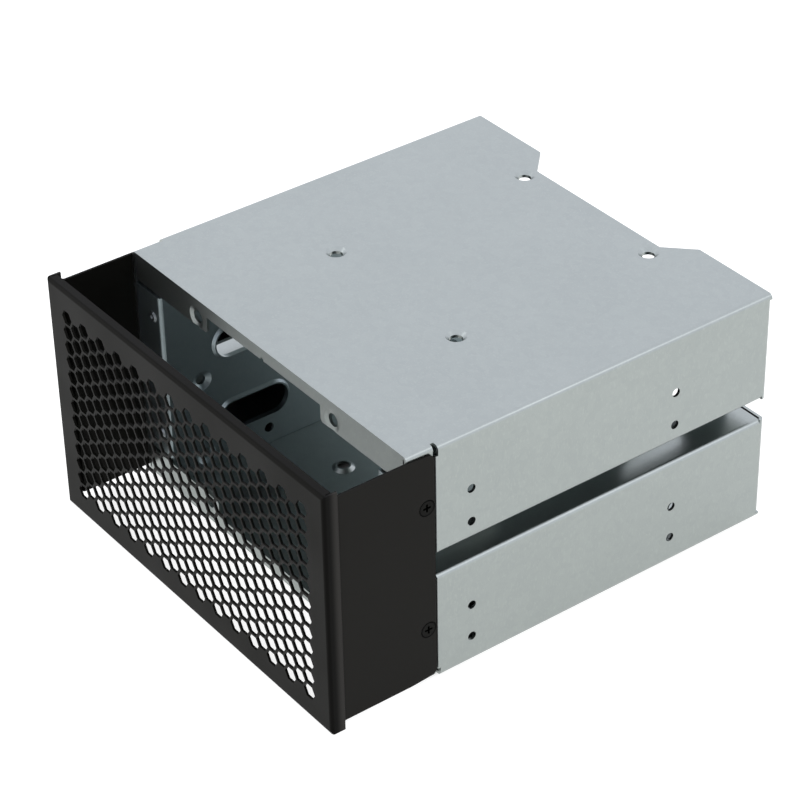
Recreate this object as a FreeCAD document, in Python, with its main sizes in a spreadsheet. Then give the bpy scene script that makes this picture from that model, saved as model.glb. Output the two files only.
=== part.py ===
"""Sheet-steel drive cage for two stacked 5.25 inch bays, with a perforated front bezel.

Frame: X across the bays, Y from the bezel face to the rear, Z up, in millimetres.
The origin is the middle of the whole object's footprint, at the height of its lowest edge.
Two folded shells carry two folded drive walls, and the bezel laps over the shells' front tongues.
"""
import FreeCAD, Part
import math
import os
import re
import Sketcher

os.makedirs("parts", exist_ok=True)
doc = FreeCAD.newDocument("drive_cage")

# ---------------------------------------------------------------- driving dimensions
SIZES = [
    # body: the two shells together
    ("body_width", 146.0),
    ("body_height", 85.0),
    ("body_depth", 140.5),
    ("steel", 1.0),
    ("bend", 1.6),
    ("side_gap", 8.0),
    ("bend_relief", 0.8),
    ("rear_flange", 15.0),
    # bezel: one folded sheet in front of the body
    ("body_setback", 30.5),
    ("bezel_sheet", 0.8),
    ("bezel_overhang", 1.0),
    ("rim_depth", 5.0),
    ("lip_depth", 3.5),
    ("face_fold", 1.2),
    ("flange_lap", 10.0),
    ("flange_inset", 1.4),
    ("flange_taper", 0.6),
    ("flange_corner", 1.2),
    ("lap_clearance", 0.1),
    ("corner_seam", 0.3),
    # hexagonal perforation of the bezel face
    ("mesh_pitch", 5.6),
    ("mesh_web", 0.8),
    ("mesh_column_pairs", 13),
    ("mesh_rows", 13),
    # countersunk screws that hold the bezel
    ("screw_pitch", 45.0),
    ("screw_setback", 3.5),
    ("screw_head", 5.5),
    ("screw_head_height", 1.5),
    ("recess_arm", 1.4),
    ("recess_web", 0.35),
    ("recess_depth", 1.0),
    ("screw_thread", 3.0),
    ("screw_length", 5.0),
    ("screw_fit", 0.1),
    # front flange of the shells and the fan pattern in it
    ("fan_pitch", 71.5),
    ("fan_hole", 4.4),
    ("fan_ring", 7.6),
    ("front_strip", 4.2),
    ("strip_nick", 0.8),
    ("front_lobe", 10.0),
    ("lobe_inner", 30.0),
    # side holes for the bay rails
    ("rail_hole", 3.0),
    ("rail_setback", 22.8),
    ("rail_pitch", 79.25),
    ("rail_low", 9.5),
    ("rail_rise", 11.94),
    ("bay_pitch", 43.3),
    # small-drive pattern in the top and bottom plates
    ("plate_hole", 4.2),
    ("plate_ring", 6.8),
    ("dimple_depth", 1.0),
    ("plate_pitch_across", 61.72),
    ("plate_pitch_along", 76.6),
    ("plate_setback", 50.1),
    # notch in the rear edge of the top and bottom plates
    ("notch_depth", 8.8),
    ("notch_floor", 61.0),
    ("notch_mouth", 79.0),
    # drive walls
    ("wall_spacing", 115.0),
    ("wall_fit", 0.1),
    ("tab_reach", 12.4),
    ("tab_clear", 11.5),
    ("slot_length", 27.0),
    ("slot_height", 11.3),
    ("slot_setback", 33.0),
    ("slot_low", 18.8),
    ("drive_pitch", 29.3),
    ("rim_height", 1.0),
    ("rim_slope", 1.6),
    ("drive_hole_low", 7.4),
    ("drive_hole", 3.6),
    ("drive_ring", 7.4),
    ("drive_hole_setback", 13.8),
    ("drive_hole_middle", 60.0),
    ("drive_hole_rear", 101.6),
    ("guide_hole_setback", 38.9),
    # rivets through the tabs and the rear flanges
    ("rivet_shank", 3.0),
    ("rivet_head", 4.2),
    ("rivet_head_height", 0.6),
    ("rivet_pitch", 45.0),
    ("rivet_inset", 10.0),
    ("rivet_fit", 0.1),
]

sheet = doc.addObject("Spreadsheet::Sheet", "Sizes")
for row, (alias, value) in enumerate(SIZES, start=1):
    sheet.set("A%d" % row, alias)
    sheet.set("B%d" % row, repr(value))
    sheet.setAlias("B%d" % row, alias)

# Places worked out from the driving dimensions, kept in the same sheet as formulas
PLACES = [
    ("half_width", "body_width / 2"),
    ("face_y", "-(body_setback + body_depth) / 2"),
    ("front_y", "face_y + body_setback"),
    ("rear_y", "front_y + body_depth"),
    ("lap_y", "front_y + flange_lap"),
    ("flange_y", "lap_y - steel / 2 - lap_clearance"),
    ("base_z", "bezel_overhang"),
    ("top_z", "base_z + body_height"),
    ("middle_z", "base_z + body_height / 2"),
    ("bezel_half", "half_width + bezel_overhang"),
    ("bezel_top", "top_z + bezel_overhang"),
    ("band_height", "(body_height - side_gap) / 2"),
    ("joggle", "bezel_sheet + lap_clearance"),
    ("tongue_half", "half_width - joggle"),
    ("wall_half", "wall_spacing / 2"),
    ("wall_outer", "wall_half + steel"),
    ("ledge_end", "wall_outer + dimple_depth + wall_fit"),
    ("flange_end", "half_width - rear_flange"),
    ("screw_y", "lap_y - screw_setback"),
    ("fan_half", "fan_pitch / 2"),
    ("mesh_step", "mesh_pitch * cos(30)"),
    ("mesh_hole", "mesh_pitch - mesh_web"),
    ("rivet_x", "tongue_half - rivet_inset"),
    ("rail_y", "front_y + rail_setback"),
    ("plate_y", "front_y + plate_setback"),
    ("wall_bottom", "base_z + steel + wall_fit"),
    ("wall_top", "top_z - steel - wall_fit"),
    ("tab_top", "top_z - tab_clear"),
    ("tab_bottom", "base_z + tab_clear"),
    ("slot_radius", "slot_height / 2"),
    ("slot_y", "front_y + slot_setback"),
    ("slot_run", "slot_length - slot_height"),
    ("slot_mirror_y", "front_y + body_depth - slot_setback"),
]
for row, (alias, formula) in enumerate(PLACES, start=len(SIZES) + 1):
    sheet.set("A%d" % row, alias)
    sheet.set("B%d" % row, "=" + formula)
    sheet.setAlias("B%d" % row, alias)
doc.recompute()

NAMES = {name for name, _ in SIZES + PLACES}


def bound(text):
    """Turn 'half_width - steel' into an expression on the sheet's cells."""
    return re.sub("[a-z_]+", lambda word: "Sizes." * (word[0] in NAMES) + word[0], text)


def number(text):
    return float(sheet.evalExpression(bound(text)))


def minus(text):
    return "-( %s )" % text


def settled(feature):
    """Recompute, and stop with the feature's own message when it did not build."""
    doc.recompute()
    if "Invalid" in feature.State or "Error" in feature.State or feature.Shape.isNull():
        raise RuntimeError("%s: %s" % (feature.Name, feature.getStatusString()))
    base = getattr(feature, "BaseFeature", None)
    if base and abs(feature.Shape.Volume - base.Shape.Volume) < 1e-3:
        raise RuntimeError("%s changes nothing" % feature.Name)
    return feature


# ---------------------------------------------------------------- sketches and features
def datum(body, role):
    """One of the body's own planes or axes, such as XY_Plane or Z_Axis."""
    return [item for item in body.Origin.OriginFeatures if item.Role == role][0]


def new_sketch(body, name, plane, start):
    """A sketch on one of the body's own planes, moved to 'start' along the plane's axis."""
    sketch = body.newObject("Sketcher::SketchObject", name)
    sketch.AttachmentSupport = [(datum(body, plane + "_Plane"), "")]
    sketch.MapMode = "FlatFace"
    along = minus(start) if plane == "XZ" else start
    sketch.setExpression("AttachmentOffset.Base.z", bound(along))
    return sketch


def pin(sketch, geometry, position, across, along):
    """Hold one point of the sketch at two distances from its origin."""
    for kind, text in (("DistanceX", across), ("DistanceY", along)):
        value = number(text)
        index = sketch.addConstraint(Sketcher.Constraint(kind, -1, 1, geometry, position, value))
        sketch.setExpression("Constraints[%d]" % index, bound(text))


def add_loop(sketch, corners):
    """A closed loop of straight edges whose corners are given as expressions.

    A corner with a third value is a square corner that is rounded to that radius.
    """
    first = sketch.GeometryCount
    count = len(corners)
    points = [FreeCAD.Vector(number(corner[0]), number(corner[1]), 0) for corner in corners]
    starts, ends, arcs = [], [], []
    for index, corner in enumerate(corners):
        starts.append(points[index])
        ends.append(points[index])
        if len(corner) == 3:
            radius = number(corner[2])
            back = (points[index - 1] - points[index]).normalize()
            ahead = (points[(index + 1) % count] - points[index]).normalize()
            ends[index] = points[index] + back * radius
            starts[index] = points[index] + ahead * radius
            arcs.append((index, corner, back, ahead, radius))
    for index in range(count):
        sketch.addGeometry(Part.LineSegment(starts[index], ends[(index + 1) % count]), False)
    for index, corner, back, ahead, radius in arcs:
        centre = points[index] + (back + ahead) * radius
        # an arc runs anticlockwise, so its first point may be either end of the rounded corner
        forward = back.cross(ahead).z < 0
        first_spoke = (ends[index] if forward else starts[index]) - centre
        angle = math.atan2(first_spoke.y, first_spoke.x)
        circle = Part.Circle(centre, FreeCAD.Vector(0, 0, 1), radius)
        arc = sketch.addGeometry(Part.ArcOfCircle(circle, angle, angle + math.pi / 2), False)
        before = first + (index - 1) % count
        near_end, far_end = (1, 2) if forward else (2, 1)
        sketch.addConstraint(Sketcher.Constraint("Tangent", before, 2, arc, near_end))
        sketch.addConstraint(Sketcher.Constraint("Tangent", first + index, 1, arc, far_end))
        shift = back + ahead
        across = "%s + %d * ( %s )" % (corner[0], round(shift.x), corner[2])
        along = "%s + %d * ( %s )" % (corner[1], round(shift.y), corner[2])
        pin(sketch, arc, 3, across, along)
        held = sketch.addConstraint(Sketcher.Constraint("Radius", arc, radius))
        sketch.setExpression("Constraints[%d]" % held, bound(corner[2]))
    for index, corner in enumerate(corners):
        if len(corner) == 2:
            before = first + (index - 1) % count
            sketch.addConstraint(Sketcher.Constraint("Coincident", before, 2, first + index, 1))
            pin(sketch, first + index, 1, corner[0], corner[1])


def add_stadium(sketch, centre_a, height, run, radius):
    """A slot outline with round ends: 'run' is the distance between the ends' centres."""
    y, z, half, r = number(centre_a), number(height), number(run) / 2, number(radius)
    front = FreeCAD.Vector(y - half, z, 0)
    rear = FreeCAD.Vector(y + half, z, 0)
    turn = FreeCAD.Vector(0, 0, 1)
    quarter = math.pi / 2
    up = FreeCAD.Vector(0, r, 0)
    sketch.addGeometry(Part.ArcOfCircle(Part.Circle(front, turn, r), quarter, 3 * quarter), False)
    sketch.addGeometry(Part.ArcOfCircle(Part.Circle(rear, turn, r), -quarter, quarter), False)
    sketch.addGeometry(Part.LineSegment(front - up, rear - up), False)
    sketch.addGeometry(Part.LineSegment(rear + up, front + up), False)
    for first, first_end, second, second_end in ((0, 2, 2, 1), (2, 2, 1, 1), (1, 2, 3, 1), (3, 2, 0, 1)):
        sketch.addConstraint(Sketcher.Constraint("Tangent", first, first_end, second, second_end))
    sketch.addConstraint(Sketcher.Constraint("Equal", 0, 1))
    index = sketch.addConstraint(Sketcher.Constraint("Radius", 0, r))
    sketch.setExpression("Constraints[%d]" % index, bound(radius))
    pin(sketch, 0, 3, "%s - ( %s ) / 2" % (centre_a, run), height)
    index = sketch.addConstraint(Sketcher.Constraint("DistanceX", 0, 3, 1, 3, number(run)))
    sketch.setExpression("Constraints[%d]" % index, bound(run))


def pad(body, name, plane, loops, start, length):
    """Extrude the loops from 'start' towards the positive axis of the plane."""
    sketch = new_sketch(body, name + "_outline", plane, start)
    for loop in loops:
        add_loop(sketch, loop)
    feature = body.newObject("PartDesign::Pad", name)
    feature.Profile = sketch
    feature.Reversed = plane == "XZ"
    feature.setExpression("Length", bound(length))
    return settled(feature)


def pocket(body, name, plane, loops, start, length):
    """Cut the loops from 'start' towards the positive axis of the plane."""
    sketch = new_sketch(body, name + "_outline", plane, start)
    for loop in loops:
        add_loop(sketch, loop)
    feature = body.newObject("PartDesign::Pocket", name)
    feature.Profile = sketch
    feature.Reversed = plane != "XZ"
    feature.setExpression("Length", bound(length))
    return settled(feature)


TURNS = {
    "+X": FreeCAD.Rotation(FreeCAD.Vector(0, 1, 0), 90),
    "-X": FreeCAD.Rotation(FreeCAD.Vector(0, 1, 0), -90),
    "+Y": FreeCAD.Rotation(FreeCAD.Vector(1, 0, 0), -90),
    "-Y": FreeCAD.Rotation(FreeCAD.Vector(1, 0, 0), 90),
    "+Z": FreeCAD.Rotation(),
    "-Z": FreeCAD.Rotation(FreeCAD.Vector(1, 0, 0), 180),
}


def round_feature(body, kind, name, sizes, place, direction):
    """A cylinder or cone added to or cut from the body, from 'place' along 'direction'."""
    feature = body.newObject("PartDesign::" + kind, name)
    feature.Placement = FreeCAD.Placement(FreeCAD.Vector(), TURNS[direction])
    for axis, text in zip("xyz", place):
        feature.setExpression("Placement.Base." + axis, bound(text))
    for key, text in sizes.items():
        feature.setExpression(key, bound(text))
    feature.Refine = False
    return settled(feature)


def repeated(body, name, originals, lines, both_sides=False):
    """Repeat features along the body's axes and, when asked, across its middle plane."""
    for index, original in enumerate(originals):
        pattern = body.newObject("PartDesign::MultiTransform", "%s_%d" % (name, index))
        steps = []
        for axis, gap, copies in lines:
            line = body.newObject("PartDesign::LinearPattern", "%s_%d_along_%s" % (name, index, axis))
            line.Direction = (datum(body, axis + "_Axis"), [""])
            line.Mode = "Spacing"
            line.setExpression("Offset", bound(gap))
            line.setExpression("Occurrences", bound(copies))
            steps.append(line)
        if both_sides:
            mirror = body.newObject("PartDesign::Mirrored", "%s_%d_mirror" % (name, index))
            mirror.MirrorPlane = (datum(body, "YZ_Plane"), [""])
            steps.append(mirror)
        pattern.Originals = [original]
        pattern.Transformations = steps
        pattern.Refine = False
        body.Tip = pattern
        settled(pattern)
        check_copies(pattern, original, lines, both_sides)


def check_copies(pattern, original, lines, both_sides):
    """Stop when the copies did not add or cut as much as the first one did."""
    copies = 2 if both_sides else 1
    for line in lines:
        copies *= round(number(line[2]))
    volumes = []
    for feature in (pattern, original):
        below = feature.BaseFeature.Shape.Volume if feature.BaseFeature else 0
        volumes.append(feature.Shape.Volume - below)
    if abs(volumes[0] - (copies - 1) * volumes[1]) > 0.02 * abs(volumes[0]) + 1e-3:
        raise RuntimeError("%s: %s" % (pattern.Name, volumes))


def dimpled_holes(body, name, places, direction, sizes, lines, both_sides=False):
    """Holes at the bottom of shallow cones that are pressed into the sheet along 'direction'."""
    ring, hole, depth = sizes
    axis = "XYZ".index(direction[1])
    cups, cuts = [], []
    for index, place in enumerate(places):
        inner = list(place)
        inner[axis] = "%s %s steel" % (place[axis], direction[0])
        cups.append(round_feature(body, "AdditiveCone", "%s_cup_%d" % (name, index), {
            "Radius1": "%s / 2 + steel / 2" % ring,
            "Radius2": "%s / 2 + steel / 2" % hole,
            "Height": depth}, inner, direction))
    repeated(body, name + "_cups", cups, lines, both_sides)
    for index, place in enumerate(places):
        cuts.append(round_feature(body, "SubtractiveCone", "%s_cone_%d" % (name, index), {
            "Radius1": "%s / 2" % ring,
            "Radius2": "%s / 2" % hole,
            "Height": depth}, place, direction))
        cuts.append(round_feature(body, "SubtractiveCylinder", "%s_bore_%d" % (name, index), {
            "Radius": "%s / 2" % hole,
            "Height": "%s + 2 * steel" % depth}, place, direction))
    repeated(body, name + "_cuts", cuts, lines, both_sides)


def soften(body, name, radius, wanted):
    """Round the edges of the body's last feature that 'wanted' picks by their two ends."""
    base = body.Tip
    edges = []
    for index, edge in enumerate(base.Shape.Edges, start=1):
        if edge.Curve.TypeId == "Part::GeomLine" and wanted(edge.Vertexes[0].Point, edge.Vertexes[-1].Point):
            edges.append("Edge%d" % index)
    if not edges:
        raise RuntimeError("no edges found for " + name)
    feature = body.newObject("PartDesign::Fillet", name)
    feature.Base = (base, edges)
    feature.setExpression("Radius", bound(radius))
    return settled(feature)


def near(value, text):
    return abs(value - number(text)) < 1e-4


def new_body(label):
    body = doc.addObject("PartDesign::Body", label)
    body.Label = label
    return body


def mirrored(corners):
    return [(minus(corner[0]),) + tuple(corner[1:]) for corner in corners]


def rectangle(left, right, low, high):
    return [(left, low), (right, low), (right, high), (left, high)]


def hexagon(centre_x, centre_z, across_flats):
    """A regular hexagon with two flats level."""
    corners = []
    for turn in range(0, 360, 60):
        radius = "%s / 2 / cos(30)" % across_flats
        corners.append(("%s + %s * cos(%d)" % (centre_x, radius, turn),
                        "%s + %s * sin(%d)" % (centre_z, radius, turn)))
    return corners


# ---------------------------------------------------------------- the two folded shells
def make_shell(label, plate, inward):
    """One folded shell: plate, side bands, ledges, front tongues, front and rear flanges.

    'plate' is the height of the plate's outer face, and 'inward' the sign that leads from it
    to the middle of the body.
    """
    def level(distance):
        return "%s %s ( %s )" % (plate, inward, distance)

    body = new_body(label)
    turned = "+Z" if inward == "+" else "-Z"

    # plate, side bands and the ledges that fold inwards to the drive walls
    half = [
        ("ledge_end", level("band_height")),
        ("half_width", level("band_height"), "bend"),
        ("half_width", plate, "bend"),
    ]
    inner = [
        ("half_width - steel", level("steel"), "bend - steel"),
        ("half_width - steel", level("band_height - steel"), "bend - steel"),
        ("ledge_end", level("band_height - steel")),
    ]
    section = half + mirrored(half)[::-1] + mirrored(inner)[::-1] + inner
    # the loop runs outer right, outer left, inner left, inner right
    pad(body, "folded_section", "XZ", [section], "lap_y", "body_depth - flange_lap")

    # relief behind the ledges, so that the rear flanges can fold
    ledge_relief = rectangle("ledge_end - steel", "half_width + steel",
                             "rear_y - steel - bend_relief", "rear_y + steel")
    low_of_ledge = level("band_height") if inward == "-" else level("band_height - bend")
    pocket(body, "ledge_relief", "XY", [ledge_relief, mirrored(ledge_relief)], low_of_ledge, "bend")

    # rear flanges, folded inwards from the side bands
    flange_a = level("steel + bend_relief")
    flange_b = level("band_height")
    low, high = (flange_a, flange_b) if inward == "+" else (flange_b, flange_a)
    waste = rectangle("half_width - bend", "half_width + steel", "rear_y - bend", "rear_y + steel")
    pocket(body, "rear_corner_waste", "XY", [waste, mirrored(waste)], low,
           "band_height - steel - bend_relief")
    fold = [
        ("half_width", "rear_y - bend - bend_relief / 4"),
        ("half_width", "rear_y", "bend"),
        ("flange_end", "rear_y"),
        ("flange_end", "rear_y - steel"),
        ("half_width - steel", "rear_y - steel", "bend - steel"),
        ("half_width - steel", "rear_y - bend - bend_relief / 4"),
    ]
    pad(body, "rear_flanges", "XY", [fold, mirrored(fold)], low, "band_height - steel - bend_relief")

    # narrower front section, one bezel sheet further in, that the bezel laps over
    half = [
        ("tongue_half", level("band_height - bend_relief")),
        ("tongue_half", plate, "bend"),
    ]
    inner = [
        ("tongue_half - steel", level("steel"), "bend - steel"),
        ("tongue_half - steel", level("band_height - bend_relief")),
    ]
    section = half + mirrored(half)[::-1] + mirrored(inner)[::-1] + inner
    pad(body, "front_section", "XZ", [section], "front_y", "flange_lap")

    # the step that joins each tongue to its side band
    step = [
        ("half_width", "lap_y"),
        ("half_width - steel", "lap_y + steel"),
        ("tongue_half - steel", "lap_y"),
        ("tongue_half - steel", "lap_y - steel"),
        ("tongue_half", "lap_y - steel / 2"),
    ]
    a, b = level("bend"), level("band_height - bend_relief")
    low, high = (a, b) if inward == "+" else (b, a)
    pad(body, "side_step", "XY", [step, mirrored(step)], low, "band_height - bend_relief - bend")

    # relief where the plate's fold steps inwards behind the lap
    relief = rectangle("tongue_half - bend", "half_width + steel",
                       "lap_y - bend_relief / 2", "lap_y + bend_relief")
    low_of_relief = level("2 * bend") if inward == "-" else plate
    pocket(body, "step_relief", "XY", [relief, mirrored(relief)], low_of_relief, "2 * bend")

    # front flange with the deeper lobes round the fan holes
    rim = [
        ("tongue_half - bend", level("steel / 2")),
        ("tongue_half - bend", level("front_lobe")),
        ("lobe_inner + bend_relief", level("front_lobe")),
        ("lobe_inner", level("front_lobe - bend_relief")),
        ("lobe_inner", level("front_strip")),
        ("strip_nick", level("front_strip")),
        ("strip_nick", level("front_strip - strip_nick")),
    ]
    front_loop = rim + mirrored(rim)[::-1]
    pad(body, "front_flange", "XZ", [front_loop], "front_y", "steel")

    # folded tabs behind the drive walls' tabs, for the front rivets
    a, b = level("front_lobe + bend"), level("band_height - bend_relief")
    low, high = (a, b) if inward == "+" else (b, a)
    lug = rectangle("tongue_half - tab_reach", "tongue_half - steel / 2", low, high)
    pad(body, "front_lugs", "XZ", [lug, mirrored(lug)], "front_y + steel", "steel")

    # notch in the rear edge of the plate
    notch = [
        ("notch_floor / 2", "rear_y - notch_depth"),
        ("notch_mouth / 2", "rear_y"),
        ("notch_mouth / 2", "rear_y + steel"),
    ]
    notch_loop = notch + mirrored(notch)[::-1]
    low_of_plate = level("steel") if inward == "-" else plate
    pocket(body, "rear_notch", "XY", [notch_loop], low_of_plate, "steel")

    # dimpled holes of the small-drive pattern
    dimpled_holes(body, "plate_holes", [["plate_pitch_across / 2", "plate_y", plate]], turned,
                  ("plate_ring", "plate_hole", "dimple_depth"),
                  [("Y", "plate_pitch_along", "2")], both_sides=True)

    # dimpled fan holes in the front flange's lobes
    outward = "-" if inward == "+" else "+"
    dimpled_holes(body, "fan_holes", [["fan_half", "front_y", "middle_z %s fan_half" % outward]], "+Y",
                  ("fan_ring", "fan_hole", "dimple_depth / 2"), [], both_sides=True)

    # rail holes, drilled through both side bands
    bay = "base_z + rail_low" if inward == "+" else "base_z + rail_low + bay_pitch"
    rail_hole = round_feature(body, "SubtractiveCylinder", "rail_hole", {
        "Radius": "rail_hole / 2",
        "Height": "body_width + 2 * steel"}, ["-half_width - steel", "rail_y", bay], "+X")
    repeated(body, "rail_holes", [rail_hole], [("Y", "rail_pitch", "2"), ("Z", "rail_rise", "2")])

    # countersunk holes for the bezel screws, and for the rivets' flush tails at the rear
    screw_z = "middle_z %s screw_pitch / 2" % outward
    rivet_z = "middle_z %s rivet_pitch / 2" % outward
    for column, direction, side in (("left", "+X", "-"), ("right", "-X", "+")):
        screw_place = [side + "half_width", "screw_y", screw_z]
        round_feature(body, "SubtractiveCone", "screw_seat_" + column, {
            "Radius1": "screw_head / 2 + screw_fit",
            "Radius2": "screw_thread / 2 + screw_fit",
            "Height": "screw_head_height"}, screw_place, direction)
        round_feature(body, "SubtractiveCylinder", "screw_bore_" + column, {
            "Radius": "screw_thread / 2 + screw_fit",
            "Height": "4 * steel"}, screw_place, direction)
        for end, along in (("front", "front_y"), ("rear", "rear_y - 2 * steel")):
            round_feature(body, "SubtractiveCylinder", "rivet_hole_%s_%s" % (end, column), {
                "Radius": "rivet_shank / 2 + rivet_fit",
                "Height": "3 * steel"}, [side + "rivet_x", along, rivet_z], "+Y")
        round_feature(body, "SubtractiveCone", "rivet_seat_" + column, {
            "Radius1": "rivet_shank / 2 + rivet_fit + steel / 2",
            "Radius2": "rivet_shank / 2 + rivet_fit",
            "Height": "steel / 2"}, [side + "rivet_x", "rear_y", rivet_z], "-Y")
    return body


upper_shell = make_shell("upper_shell", "top_z", "-")
lower_shell = make_shell("lower_shell", "base_z", "+")


# ---------------------------------------------------------------- drive walls
def make_wall(label):
    """The right drive wall: a sheet with tabs folded outwards at both ends."""
    body = new_body(label)
    blank = rectangle("front_y + steel + wall_fit", "rear_y - 2 * steel - wall_fit", "wall_bottom", "wall_top")
    pad(body, "wall_blank", "YZ", [blank], "wall_half", "steel")

    # one tall tab in front, level with the shells' front flanges
    front_tab = [
        ("wall_half", "front_y + 2 * bend"),
        ("wall_half", "front_y", "bend"),
        ("tongue_half - steel - wall_fit", "front_y"),
        ("tongue_half - steel - wall_fit", "front_y + steel"),
        ("wall_outer", "front_y + steel", "bend - steel"),
        ("wall_outer", "front_y + 2 * bend"),
    ]
    pad(body, "front_tab", "XY", [front_tab], "tab_bottom", "tab_top - tab_bottom")

    # two short tabs at the rear, against the shells' rear flanges
    rear_tab = [
        ("wall_half", "rear_y - steel - 2 * bend"),
        ("wall_half", "rear_y - steel", "bend"),
        ("half_width - 2 * bend", "rear_y - steel"),
        ("half_width - 2 * bend", "rear_y - 2 * steel"),
        ("wall_outer", "rear_y - 2 * steel", "bend - steel"),
        ("wall_outer", "rear_y - steel - 2 * bend"),
    ]
    tab_height = "band_height - tab_clear - steel - bend"
    pad(body, "rear_tab_low", "XY", [rear_tab], "tab_bottom", tab_height)
    pad(body, "rear_tab_high", "XY", [rear_tab], "tab_top - ( %s )" % tab_height, tab_height)

    # long slots with a raised rim on the drive side
    slot_z = "base_z + slot_low"
    rim_foot = new_sketch(body, "slot_rim_foot", "YZ", "wall_half + steel / 2")
    add_stadium(rim_foot, "slot_y", slot_z, "slot_run", "slot_radius + rim_slope")
    rim_edge = new_sketch(body, "slot_rim_edge", "YZ", "wall_half - rim_height")
    add_stadium(rim_edge, "slot_y", slot_z, "slot_run", "slot_radius + steel / 2")
    rim = body.newObject("PartDesign::AdditiveLoft", "slot_rim")
    rim.Profile = rim_foot
    rim.Sections = [rim_edge]
    rim.Ruled = True
    settled(rim)
    slot_lines = [("Y", "body_depth - 2 * slot_setback", "2"), ("Z", "drive_pitch", "2")]
    repeated(body, "slot_rims", [rim], slot_lines)
    outline = new_sketch(body, "slot_outline", "YZ", "wall_half - rim_height - steel")
    add_stadium(outline, "slot_y", slot_z, "slot_run", "slot_radius")
    slot = body.newObject("PartDesign::Pocket", "slot")
    slot.Profile = outline
    slot.Reversed = True
    slot.setExpression("Length", bound("rim_height + 3 * steel"))
    settled(slot)
    repeated(body, "slots", [slot], slot_lines)

    # dimpled holes for the drives' own side screws, and a plain guide hole
    places = []
    for shift in ("0", "drive_hole_middle", "drive_hole_rear"):
        places.append(["wall_half", "front_y + drive_hole_setback + " + shift, "base_z + drive_hole_low"])
    rows = [("Z", "drive_pitch", "2")]
    dimpled_holes(body, "drive_holes", places, "+X", ("drive_ring", "drive_hole", "dimple_depth"), rows)
    guide_hole = round_feature(body, "SubtractiveCylinder", "guide_hole", {
        "Radius": "drive_hole / 2",
        "Height": "3 * steel"},
        ["wall_half - steel", "front_y + guide_hole_setback", "base_z + drive_hole_low"], "+X")
    repeated(body, "guide_holes", [guide_hole], rows)

    # holes for the rivets
    for end, along in (("front", "front_y - steel"), ("rear", "rear_y - 3 * steel")):
        for row, sign in (("low", "-"), ("high", "+")):
            round_feature(body, "SubtractiveCylinder", "rivet_hole_%s_%s" % (end, row), {
                "Radius": "rivet_shank / 2 + rivet_fit",
                "Height": "3 * steel"}, ["rivet_x", along, "middle_z %s rivet_pitch / 2" % sign], "+Y")
    return body


def mirror_copy(source, label):
    """The left-hand copy of a right-hand piece."""
    copy = doc.addObject("Part::Mirroring", label)
    copy.Label = label
    copy.Source = source
    copy.Normal = FreeCAD.Vector(1, 0, 0)
    return settled(copy)


right_wall = make_wall("right_drive_wall")
left_wall = mirror_copy(right_wall, "left_drive_wall")


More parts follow.
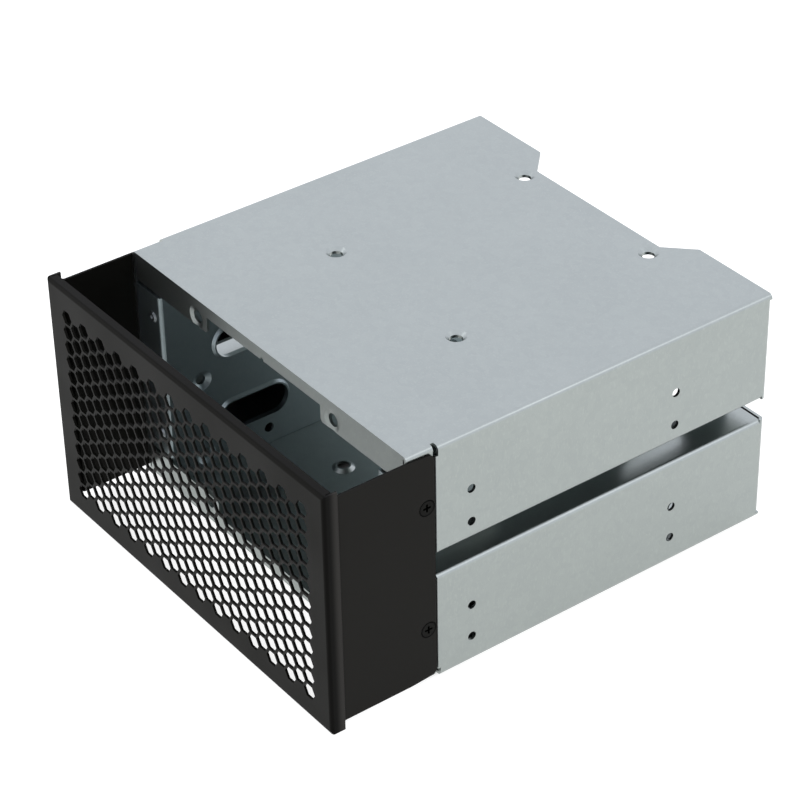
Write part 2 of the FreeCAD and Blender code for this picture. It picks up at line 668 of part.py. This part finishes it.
# ---------------------------------------------------------------- bezel
def make_bezel(label):
    """One folded sheet: perforated face, shallow rim, and side flanges that lap over the body."""
    body = new_body(label)
    outline = rectangle(minus("bezel_half"), "bezel_half", "0", "bezel_top")
    pad(body, "blank", "XZ", [outline], "face_y", "rim_depth")
    soften(body, "rim_folds", "face_fold", lambda a, b: near(a[1], "face_y") and near(b[1], "face_y"))
    hollow = rectangle("-( bezel_half - bezel_sheet )", "bezel_half - bezel_sheet",
                       "bezel_sheet", "bezel_top - bezel_sheet")
    pocket(body, "rim_hollow", "XZ", [hollow], "face_y + bezel_sheet", "rim_depth")

    # the top and bottom lips are shorter than the side rims
    top_waste = rectangle("-( bezel_half - bezel_sheet )", "bezel_half - bezel_sheet",
                          "bezel_top - bezel_sheet", "bezel_top + bezel_sheet")
    bottom_waste = rectangle("-( bezel_half - bezel_sheet )", "bezel_half - bezel_sheet",
                             "-( bezel_sheet )", "bezel_sheet")
    pocket(body, "lip_waste", "XZ", [top_waste, bottom_waste], "face_y + lip_depth", "rim_depth")

    # open seams where the top and bottom lips meet the side rims
    seam = rectangle("bezel_half - bezel_sheet - corner_seam", "bezel_half - bezel_sheet",
                     "bezel_top - bezel_sheet", "bezel_top + bezel_sheet")
    low_seam = rectangle("bezel_half - bezel_sheet - corner_seam", "bezel_half - bezel_sheet",
                         "-( bezel_sheet )", "bezel_sheet")
    seams = [seam, mirrored(seam), low_seam, mirrored(low_seam)]
    pocket(body, "corner_seams", "XZ", seams, "face_y + 2 * bezel_sheet", "rim_depth")

    # side flanges, stepped inwards behind the rim to lie flush with the body
    step = [
        ("bezel_half", "face_y + rim_depth - bezel_sheet / 2"),
        ("half_width", "face_y + rim_depth + bezel_sheet"),
        ("half_width", "flange_y"),
        ("half_width - bezel_sheet", "flange_y"),
        ("half_width - bezel_sheet", "face_y + rim_depth + bezel_sheet / 2"),
        ("bezel_half - bezel_sheet", "face_y + rim_depth - bezel_sheet"),
    ]
    pad(body, "side_flanges", "XY", [step, mirrored(step)], "base_z + flange_inset",
        "body_height - 2 * flange_inset")

    # the flanges narrow a little over the lap, and their rear corners are cut off
    top = "top_z - flange_inset"
    upper = [
        ("front_y", top + " + bezel_sheet"),
        ("front_y", top),
        ("flange_y - flange_corner", top + " - flange_taper"),
        ("flange_y", top + " - flange_taper - flange_corner"),
        ("lap_y", top + " - flange_taper - flange_corner"),
        ("lap_y", top + " + bezel_sheet"),
    ]
    bottom = "base_z + flange_inset"
    lower = [
        ("front_y", bottom + " - bezel_sheet"),
        ("front_y", bottom),
        ("flange_y - flange_corner", bottom + " + flange_taper"),
        ("flange_y", bottom + " + flange_taper + flange_corner"),
        ("lap_y", bottom + " + flange_taper + flange_corner"),
        ("lap_y", bottom + " - bezel_sheet"),
    ]
    pocket(body, "lap_taper", "YZ", [upper, lower], "-( bezel_half )", "2 * bezel_half")

    # countersunk holes for the screws
    seat = round_feature(body, "SubtractiveCone", "screw_seat", {
        "Radius1": "screw_head / 2 + screw_fit",
        "Radius2": "screw_thread / 2 + screw_fit",
        "Height": "screw_head_height"}, ["half_width", "screw_y", "middle_z - screw_pitch / 2"], "-X")
    repeated(body, "screw_seats", [seat], [("Z", "screw_pitch", "2")], both_sides=True)

    # hexagonal perforation: full columns with shorter ones between them, half a pitch higher.
    # The top row and the last column come first, then the field of two holes side by side.
    corner_x = "-( mesh_column_pairs * mesh_step )"
    corner_z = "middle_z - ( mesh_rows - 1 ) / 2 * mesh_pitch"
    last_x = "mesh_column_pairs * mesh_step"
    top_z = "middle_z + ( mesh_rows - 1 ) / 2 * mesh_pitch"
    across = ("X", "2 * mesh_step", "mesh_column_pairs")
    upwards = ("Z", "mesh_pitch", "mesh_rows - 1")
    beside = (corner_x + " + mesh_step", corner_z + " + mesh_pitch / 2")
    for name, centres, lines in (
            ("mesh_top_row", [(corner_x, top_z)], [("X", "2 * mesh_step", "mesh_column_pairs + 1")]),
            ("mesh_last_column", [(last_x, corner_z)], [upwards]),
            ("mesh_field", [(corner_x, corner_z), beside], [across, upwards])):
        sketch = new_sketch(body, name + "_outline", "XZ", "face_y - bezel_sheet")
        for centre_x, centre_z in centres:
            add_loop(sketch, hexagon(centre_x, centre_z, "mesh_hole"))
        hole = body.newObject("PartDesign::Pocket", name + "_hole")
        hole.Profile = sketch
        hole.setExpression("Length", bound("3 * bezel_sheet"))
        hole.Refine = False
        settled(hole)
        repeated(body, name, [hole], lines)
    return body


bezel = make_bezel("front_bezel")


# ---------------------------------------------------------------- fasteners
def turn_profile(label, profile, axis_start, axis_end):
    """A new body that holds the profile turned once round its axis."""
    body = new_body(label)
    body.AllowCompound = True
    sketch = new_sketch(body, "profile", "XY", "middle_z - screw_pitch / 2")
    add_loop(sketch, profile)
    ends = [FreeCAD.Vector(number(end[0]), number(end[1]), 0) for end in (axis_start, axis_end)]
    centre_line = sketch.addGeometry(Part.LineSegment(*ends), True)
    pin(sketch, centre_line, 1, *axis_start)
    pin(sketch, centre_line, 2, *axis_end)
    turned = body.newObject("PartDesign::Revolution", "turned")
    turned.Profile = sketch
    turned.ReferenceAxis = (sketch, ["Axis0"])
    return body, settled(turned)


def make_screws(label):
    """Countersunk screws with a cross recess, their heads flush with the bezel's flange."""
    head, shank = "screw_y + screw_head / 2", "screw_y + screw_thread / 2"
    tip = "half_width - screw_length"
    profile = [
        ("half_width", "screw_y"),
        ("half_width", head),
        ("half_width - screw_head_height", shank),
        (tip + " + steel / 2", shank),
        (tip, shank + " - steel / 2"),
        (tip, "screw_y"),
    ]
    body, turned = turn_profile(label, profile, (tip, "screw_y"), ("half_width", "screw_y"))
    corners = (("recess_arm", "recess_web"), ("recess_web", "recess_web"), ("recess_web", "recess_arm"))
    cross = []
    for x, y in ((1, 1), (-1, 1), (-1, -1), (1, -1)):
        for across, along in corners[::x * y]:
            cross.append(("screw_y + %d * %s" % (x, across),
                          "middle_z - screw_pitch / 2 + %d * %s" % (y, along)))
    recess = pocket(body, "cross_recess", "YZ", [cross], "half_width - recess_depth", "2 * recess_depth")
    repeated(body, "pair", [turned, recess], [("Z", "screw_pitch", "2")])
    return body


def make_rivets(label, profile):
    """A pair of turned rivets, one for each shell."""
    body, turned = turn_profile(label, profile, profile[0], profile[-1])
    repeated(body, "pair", [turned], [("Z", "rivet_pitch", "2")])
    return body


HEAD = "rivet_x + rivet_head / 2"
CROWN = "rivet_x + rivet_head / 2 - rivet_head_height"
SHANK = "rivet_x + rivet_shank / 2"
MANDREL = "rivet_x + rivet_shank / 4"
# low head in front of the wall's tab, hollow round its mandrel, and a set bulb behind the lug
front_profile = [
    ("rivet_x", "front_y - rivet_head_height / 2"),
    (MANDREL, "front_y - rivet_head_height / 2"),
    (MANDREL, "front_y - rivet_head_height"),
    (CROWN, "front_y - rivet_head_height"),
    (HEAD, "front_y"),
    (SHANK, "front_y"),
    (SHANK, "front_y + 2 * steel"),
    (SHANK + " + steel / 2", "front_y + 2 * steel"),
    (SHANK, "front_y + 4 * steel"),
    ("rivet_x", "front_y + 4 * steel"),
]
# low head inside the rear tab, tail set flush in the rear flange
rear_profile = [
    ("rivet_x", "rear_y"),
    (SHANK + " + steel / 2", "rear_y"),
    (SHANK, "rear_y - steel / 2"),
    (SHANK, "rear_y - 2 * steel"),
    (HEAD, "rear_y - 2 * steel"),
    (CROWN, "rear_y - 2 * steel - rivet_head_height"),
    ("rivet_x", "rear_y - 2 * steel - rivet_head_height"),
]
right_screws = make_screws("bezel_screws_right")
front_rivets = make_rivets("front_rivets_right", front_profile)
rear_rivets = make_rivets("rear_rivets_right", rear_profile)
left_screws = mirror_copy(right_screws, "bezel_screws_left")
left_front_rivets = mirror_copy(front_rivets, "front_rivets_left")
left_rear_rivets = mirror_copy(rear_rivets, "rear_rivets_left")

# ---------------------------------------------------------------- checks and export
PIECES = {
    "front_bezel": (bezel, 1),
    "upper_shell": (upper_shell, 1),
    "lower_shell": (lower_shell, 1),
    "right_drive_wall": (right_wall, 1),
    "left_drive_wall": (left_wall, 1),
    "bezel_screws_right": (right_screws, 2),
    "bezel_screws_left": (left_screws, 2),
    "front_rivets_right": (front_rivets, 2),
    "front_rivets_left": (left_front_rivets, 2),
    "rear_rivets_right": (rear_rivets, 2),
    "rear_rivets_left": (left_rear_rivets, 2),
}
doc.recompute()
for item in doc.Objects:
    if "Invalid" in item.State or "Error" in item.State or "Touched" in item.State:
        raise RuntimeError("not built: %s %s" % (item.Name, item.State))
for name, (piece, solids) in PIECES.items():
    shape = piece.Shape
    if shape.isNull() or not shape.isValid() or len(shape.Solids) != solids:
        raise RuntimeError("bad shape: " + name)
    shape.exportStep("parts/%s.step" % name)
    print(name, len(shape.Solids), round(shape.Volume, 1), shape.BoundBox)
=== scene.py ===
import math

import bmesh
import bpy
from mathutils import Matrix, Vector


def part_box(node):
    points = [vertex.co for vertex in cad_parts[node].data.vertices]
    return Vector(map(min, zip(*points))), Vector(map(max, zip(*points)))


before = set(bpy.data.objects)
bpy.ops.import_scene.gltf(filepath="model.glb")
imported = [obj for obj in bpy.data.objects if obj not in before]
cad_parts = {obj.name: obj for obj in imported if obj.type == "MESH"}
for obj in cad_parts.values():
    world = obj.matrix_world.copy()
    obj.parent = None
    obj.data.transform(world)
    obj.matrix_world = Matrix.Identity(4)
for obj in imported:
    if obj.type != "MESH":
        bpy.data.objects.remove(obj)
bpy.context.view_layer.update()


# ---------------------------------------------------------------- front bezel
# One folded sheet of steel: a face punched with hexagons, a shallow rim and two side flanges.
# It is powder coated satin black after folding, and lets a fan behind it breathe.

def linear(code):
    """An sRGB hex colour such as "#2a2827" as linear RGBA."""
    channels = [int(code[place:place + 2], 16) / 255 for place in (1, 3, 5)]
    return tuple(c / 12.92 if c <= 0.04045 else ((c + 0.055) / 1.055) ** 2.4 for c in channels) + (1.0,)


def add_node(tree, kind, inputs=None, **settings):
    """Add one shader node, set it up and link or set its inputs."""
    node = tree.nodes.new(kind)
    for name, value in settings.items():
        setattr(node, name, value)
    for name, value in (inputs or {}).items():
        if isinstance(value, bpy.types.NodeSocket):
            tree.links.new(value, node.inputs[name])
        else:
            node.inputs[name].default_value = value
    return node


def start_material(name):
    """A material with only its output node, and the object's own coordinates in metres."""
    material = bpy.data.materials.new(name)
    material.use_nodes = True
    tree = material.node_tree
    tree.nodes.clear()
    output = add_node(tree, "ShaderNodeOutputMaterial")
    place = add_node(tree, "ShaderNodeTexCoord").outputs["Object"]
    return material, tree, output, place


def coat_with(material, *nodes):
    """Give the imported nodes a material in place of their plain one."""
    for name in nodes:
        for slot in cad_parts[name].material_slots:
            slot.material = material


def off_axis(tree, place, centre, reach, across):
    """Distance from the nearest of a set of parallel lines that lie evenly round a centre."""
    moved = add_node(tree, "ShaderNodeVectorMath", {0: place, 1: centre}, operation="SUBTRACT")
    folded = add_node(tree, "ShaderNodeVectorMath", {
        0: moved.outputs["Vector"]}, operation="ABSOLUTE")
    local = add_node(tree, "ShaderNodeVectorMath", {
        0: folded.outputs["Vector"], 1: reach}, operation="SUBTRACT")
    flat = add_node(tree, "ShaderNodeVectorMath", {
        0: local.outputs["Vector"], 1: across}, operation="MULTIPLY")
    distance = add_node(tree, "ShaderNodeVectorMath", {
        0: flat.outputs["Vector"]}, operation="LENGTH")
    return distance.outputs["Value"]


POWDER_GRAIN = 0.00035
PEEL_HEIGHT = 0.00004
POWDER_CLOUD = 0.03
RIM_DEPTH = 0.005
RIM_PAINTED_SHADE_TO = RIM_DEPTH * 0.35
RIM_PAINTED_HIGHLIGHT_FROM = RIM_DEPTH * 0.9
RIM_PAINTED_LIGHT_FULL = 0.0004
RIM_PAINTED_LIGHT_END = 0.0012

# baked polyester powder: near black, satin, with a very fine orange peel
powder, tree, output, place = start_material("black_powder_coat")
peel = add_node(tree, "ShaderNodeTexNoise", {
    "Vector": place, "Scale": 1 / POWDER_GRAIN, "Detail": 2.0})
cloud = add_node(tree, "ShaderNodeTexNoise", {
    "Vector": place, "Scale": 1 / POWDER_CLOUD, "Detail": 2.0})
gloss = add_node(tree, "ShaderNodeMapRange", {
    "Value": cloud.outputs["Fac"], "From Min": 0.3, "From Max": 0.7, "To Min": 0.36, "To Max": 0.46})
bump = add_node(tree, "ShaderNodeBump", {
    "Height": peel.outputs["Fac"], "Strength": 0.12, "Distance": PEEL_HEIGHT})
# the rim's two sides get painted light in their colour: painted shade at the upright fold and a painted
# highlight towards the rear edge the flanges lie 1 mm further in, and take about a quarter of the
# painted highlight
bezel_low, bezel_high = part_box("front_bezel")
corner, spread = (0.0, bezel_low[1], 0.0), (bezel_high[0], 0.0, 0.0)
from_side = off_axis(tree, place, corner, spread, (1.0, 0.0, 0.0))
from_face = off_axis(tree, place, corner, spread, (0.0, 1.0, 0.0))
rim_painted_light_mask = add_node(tree, "ShaderNodeMapRange", {
    "Value": from_side, "From Min": RIM_PAINTED_LIGHT_END, "From Max": RIM_PAINTED_LIGHT_FULL})
rim_shade_to_highlight = add_node(tree, "ShaderNodeMapRange", {
    "Value": from_face, "From Min": RIM_PAINTED_SHADE_TO, "From Max": RIM_PAINTED_HIGHLIGHT_FROM},
    interpolation_type="SMOOTHSTEP")
# painted shade near black at the upright fold, blending to a painted highlight at the rim's rear edge
rim_painted_light = add_node(tree, "ShaderNodeMix", {
    "Factor": rim_shade_to_highlight.outputs["Result"], "A": linear("#030303"), "B": linear("#292826")},
    data_type="RGBA")
colour = add_node(tree, "ShaderNodeMix", {
    "Factor": rim_painted_light_mask.outputs["Result"], "A": linear("#0b0b09"), "B": rim_painted_light.outputs["Result"]},
    data_type="RGBA")
coat = add_node(tree, "ShaderNodeBsdfPrincipled", {
    "Base Color": colour.outputs["Result"], "Roughness": gloss.outputs["Result"], "IOR": 1.5,
    "Specular IOR Level": 0.05, "Specular Tint": linear("#fffbef"),
    "Normal": bump.outputs["Normal"]})
tree.links.new(coat.outputs["BSDF"], output.inputs["Surface"])
coat_with(powder, "front_bezel")


# ---------------------------------------------------------------- folded shells
# Two shells of galvanised sheet steel, each with a plate, two side bands and a narrow ledge.
# They are punched, dimpled and folded, and the zinc keeps a faint cloudy spangle.

SPANGLE = 0.0022
FLECK = 0.0006
FLECK_STRETCH = (1.0, 1.0, 0.4)
ROLLING = 0.03
CRYSTAL_SHARE = 0.35
CLOUD_SHARE = 0.4
GLOSS_SPREAD = 0.02


def galvanised(name, colour_low, colour_high, roughness, relief):
    """Zinc on rolled sheet: grey metal with a weak crystal pattern and small pale flecks."""
    material, tree, output, place = start_material(name)
    warp = add_node(tree, "ShaderNodeTexNoise", {
        "Vector": place, "Scale": 1 / SPANGLE, "Detail": 2.0})
    bent = add_node(tree, "ShaderNodeVectorMath", {
        0: warp.outputs["Color"], 1: (SPANGLE, SPANGLE, SPANGLE), 2: place}, operation="MULTIPLY_ADD")
    crystals = add_node(tree, "ShaderNodeTexVoronoi", {
        "Vector": bent.outputs["Vector"], "Scale": 1 / SPANGLE}, feature="F1")
    facet = add_node(tree, "ShaderNodeSeparateColor", {"Color": crystals.outputs["Color"]})
    drawn = add_node(tree, "ShaderNodeVectorMath", {
        0: place, 1: FLECK_STRETCH}, operation="MULTIPLY")
    grit = add_node(tree, "ShaderNodeTexNoise", {
        "Vector": drawn.outputs["Vector"], "Scale": 1 / FLECK, "Detail": 3.0})
    fleck = add_node(tree, "ShaderNodeMapRange", {
        "Value": grit.outputs["Fac"], "From Min": 0.56, "From Max": 0.72,
        "To Min": 0.0, "To Max": 0.8})
    cloud = add_node(tree, "ShaderNodeTexNoise", {
        "Vector": place, "Scale": 1 / ROLLING, "Detail": 2.0})
    grain = add_node(tree, "ShaderNodeMath", {
        0: facet.outputs["Red"], 1: CRYSTAL_SHARE, 2: fleck.outputs["Result"]},
        operation="MULTIPLY_ADD")
    blend = add_node(tree, "ShaderNodeMath", {
        0: cloud.outputs["Fac"], 1: CLOUD_SHARE, 2: grain.outputs["Value"]},
        operation="MULTIPLY_ADD")
    colour = add_node(tree, "ShaderNodeMix", {
        "Factor": blend.outputs["Value"], "A": linear(colour_low), "B": linear(colour_high)},
        data_type="RGBA")
    matt = add_node(tree, "ShaderNodeMapRange", {
        "Value": cloud.outputs["Fac"], "From Min": 0.3, "From Max": 0.7,
        "To Min": roughness + GLOSS_SPREAD, "To Max": roughness - GLOSS_SPREAD})
    bump = add_node(tree, "ShaderNodeBump", {
        "Height": warp.outputs["Fac"], "Strength": 1.0, "Distance": relief})
    metal = add_node(tree, "ShaderNodeBsdfPrincipled", {
        "Base Color": colour.outputs["Result"], "Metallic": 1.0, "Roughness": matt.outputs["Result"],
        "Normal": bump.outputs["Normal"]})
    tree.links.new(metal.outputs["BSDF"], output.inputs["Surface"])
    return material


shell_zinc = galvanised("galvanised_sheet", "#959b99", "#9da3a0", roughness=0.31, relief=0.00002)
coat_with(shell_zinc, "upper_shell", "lower_shell")


# ---------------------------------------------------------------- drive walls
# Two inner walls from the same galvanised sheet, tabbed and riveted to the shells.
# Their slots have raised rims, and their screw holes are dimpled away from the drives.

# the walls' zinc is a darker, bluer copy of the shells' zinc: painted shade for their place inside the
# cage
wall_zinc_painted_shade = galvanised("galvanised_wall_painted_shade", "#8a9698", "#919b9d", roughness=0.37, relief=0.000004)
coat_with(wall_zinc_painted_shade, "right_drive_wall", "left_drive_wall")


# ---------------------------------------------------------------- bezel screws
# Countersunk cross-head screws, two on each side, that hold the bezel to the shells' tongues.
# They are steel with a black oxide finish, a little glossier than the powder coat round them.

def middle(corners):
    """The centre of a box given by its two corners."""
    return [(low + high) / 2 for low, high in zip(*corners)]


OXIDE_MOTTLE = 0.0012
SCREW_RING_PAINTED_SHADE = 0.0005

screw_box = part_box("bezel_screws_right")
screw_middle = middle(screw_box)
screw_radius = (screw_box[1][1] - screw_box[0][1]) / 2
screw_reach = (screw_box[1][2] - screw_box[0][2]) / 2 - screw_radius

oxide, tree, output, place = start_material("black_oxide_steel")
wear = add_node(tree, "ShaderNodeTexNoise", {
    "Vector": place, "Scale": 1 / OXIDE_MOTTLE, "Detail": 3.0})
gloss = add_node(tree, "ShaderNodeMapRange", {
    "Value": wear.outputs["Fac"], "From Min": 0.35, "From Max": 0.65, "To Min": 0.3, "To Max": 0.45})
# painted shade: a near-black, non-metallic ring in the gap round the head, where shade falls
from_screw = off_axis(
    tree, place, (0.0, screw_middle[1], screw_middle[2]), (0.0, 0.0, screw_reach), (0.0, 1.0, 1.0))
clear_of_painted_shade = add_node(tree, "ShaderNodeMapRange", {
    "Value": from_screw,
    "From Min": screw_radius - SCREW_RING_PAINTED_SHADE, "From Max": screw_radius - SCREW_RING_PAINTED_SHADE / 2,
    "To Min": 0.8, "To Max": 0.0})
colour = add_node(tree, "ShaderNodeMix", {
    "Factor": clear_of_painted_shade.outputs["Result"], "A": linear("#010101"), "B": linear("#141412")},
    data_type="RGBA")
skin = add_node(tree, "ShaderNodeBsdfPrincipled", {
    "Base Color": colour.outputs["Result"], "Metallic": clear_of_painted_shade.outputs["Result"],
    "Roughness": gloss.outputs["Result"], "Specular IOR Level": 0.02})
tree.links.new(skin.outputs["BSDF"], output.inputs["Surface"])
coat_with(oxide, "bezel_screws_right", "bezel_screws_left")


# ---------------------------------------------------------------- rivets
# Aluminium blind rivets through the walls' front tabs, and flush-set ones at the rear.
# The heads are dulled, and the end of each mandrel is bright where it broke off.

SCUFF = 0.0006
MANDREL_RADIUS = 0.00075
MANDREL_CORE = MANDREL_RADIUS * 0.8

rivet_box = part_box("front_rivets_right")
rivet_middle = middle(rivet_box)
rivet_radius = (rivet_box[1][0] - rivet_box[0][0]) / 2
rivet_reach = (rivet_box[1][2] - rivet_box[0][2]) / 2 - rivet_radius

dulled, tree, output, place = start_material("rivet_aluminium")
scuff = add_node(tree, "ShaderNodeTexNoise", {
    "Vector": place, "Scale": 1 / SCUFF, "Detail": 3.0})
gloss = add_node(tree, "ShaderNodeMapRange", {
    "Value": scuff.outputs["Fac"], "From Min": 0.35, "From Max": 0.65, "To Min": 0.28, "To Max": 0.42})
from_rivet = off_axis(
    tree, place, (0.0, 0.0, rivet_middle[2]), (rivet_middle[0], 0.0, rivet_reach), (1.0, 0.0, 1.0))
mandrel = add_node(tree, "ShaderNodeMapRange", {
    "Value": from_rivet, "From Min": MANDREL_RADIUS, "From Max": MANDREL_CORE})
colour = add_node(tree, "ShaderNodeMix", {
    "Factor": mandrel.outputs["Result"], "A": linear("#787d7f"), "B": linear("#d6d8d9")},
    data_type="RGBA")
metal = add_node(tree, "ShaderNodeBsdfPrincipled", {
    "Base Color": colour.outputs["Result"], "Metallic": 1.0, "Roughness": gloss.outputs["Result"]})
tree.links.new(metal.outputs["BSDF"], output.inputs["Surface"])
coat_with(dulled, "front_rivets_right", "front_rivets_left", "rear_rivets_right", "rear_rivets_left")


# ---------------------------------------------------------------- floor
# A seamless pale sheet under the part, lit from within as on a light table.
# It glows everywhere but right under the shells, where the missing glow is painted shade, so the holes
# in their floor stay dark.

FLOOR_REACH = 4.0
GLOW = 0.8
PAINTED_SHADE_INSIDE, LIT_INSIDE = -0.006, -0.002

sheet_mesh = bmesh.new()
bmesh.ops.create_grid(sheet_mesh, x_segments=1, y_segments=1, size=FLOOR_REACH)
floor_mesh = bpy.data.meshes.new("floor")
sheet_mesh.to_mesh(floor_mesh)
sheet_mesh.free()
floor = bpy.data.objects.new("floor", floor_mesh)
bpy.context.collection.objects.link(floor)

shell_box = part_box("lower_shell")
shell_reach = [(high - low) / 2 for low, high in zip(*shell_box)]
paper, tree, output, place = start_material("pale_backdrop")
beside = add_node(tree, "ShaderNodeVectorMath", {
    0: place, 1: middle(shell_box)}, operation="SUBTRACT")
folded = add_node(tree, "ShaderNodeVectorMath", {
    0: beside.outputs["Vector"]}, operation="ABSOLUTE")
outside = add_node(tree, "ShaderNodeVectorMath", {
    0: folded.outputs["Vector"], 1: shell_reach}, operation="SUBTRACT")
reach = add_node(tree, "ShaderNodeSeparateXYZ", {"Vector": outside.outputs["Vector"]})
nearest = add_node(tree, "ShaderNodeMath", {
    0: reach.outputs["X"], 1: reach.outputs["Y"]}, operation="MAXIMUM")
# no glow under the shells: painted shade where the part would shade the floor
glow = add_node(tree, "ShaderNodeMapRange", {
    "Value": nearest.outputs["Value"], "From Min": PAINTED_SHADE_INSIDE, "From Max": LIT_INSIDE,
    "To Min": 0.0, "To Max": GLOW})
card = add_node(tree, "ShaderNodeBsdfPrincipled", {
    "Base Color": linear("#a8a8a4"), "Roughness": 0.9, "Specular IOR Level": 0.1,
    "Emission Color": (1.0, 1.0, 1.0, 1.0), "Emission Strength": glow.outputs["Result"]})
tree.links.new(card.outputs["BSDF"], output.inputs["Surface"])
floor_mesh.materials.append(paper)


# ---------------------------------------------------------------- light and camera
# Soft white light from a tent all round, and a little from two softboxes, front left and rear right.
# The camera looks down on the front right corner through a long lens.

TENT_STRENGTH = 1.5
SOFTBOX_SIZE = 0.5
AIM = Vector((0, 0, 0.05))

world = bpy.data.worlds.new("light_tent")
bpy.context.scene.world = world
world.use_nodes = True
world.node_tree.nodes["Background"].inputs["Color"].default_value = linear("#f5f6ff")
world.node_tree.nodes["Background"].inputs["Strength"].default_value = TENT_STRENGTH
bpy.context.scene.view_settings.view_transform = "Standard"


def softbox(name, position, power):
    """A square lamp that faces the part."""
    lamp = bpy.data.lights.new(name, "AREA")
    lamp.shape = "SQUARE"
    lamp.size = SOFTBOX_SIZE
    lamp.energy = power
    holder = bpy.data.objects.new(name, lamp)
    holder.location = position
    holder.rotation_euler = (AIM - Vector(position)).to_track_quat("-Z", "Y").to_euler()
    bpy.context.collection.objects.link(holder)


softbox("softbox_left", (-1.0, -0.85, 0.8), power=2.5)
softbox("softbox_behind", (0.85, 0.73, 1.0), power=1.0)

AZIMUTH, ELEVATION, ROLL = 0.93969, 0.60143, -0.02198
EYE = Vector((0.6021, -0.4462, 0.5609))

forward = Vector((-math.sin(AZIMUTH) * math.cos(ELEVATION), math.cos(AZIMUTH) * math.cos(ELEVATION),
                  -math.sin(ELEVATION)))
level = forward.cross(Vector((0, 0, 1))).normalized()
upright = level.cross(forward)
right = math.cos(ROLL) * level + math.sin(ROLL) * upright
up = math.cos(ROLL) * upright - math.sin(ROLL) * level
turn = Matrix((right, up, -forward)).transposed().to_4x4()

camera = bpy.data.cameras.new("camera")
camera.sensor_width = 36.0
camera.lens = 128.9
camera.shift_x = 0.0080
camera.shift_y = -0.0091
camera.clip_start = 0.05
viewer = bpy.data.objects.new("camera", camera)
viewer.matrix_world = Matrix.Translation(EYE) @ turn
bpy.context.collection.objects.link(viewer)
bpy.context.scene.camera = viewer
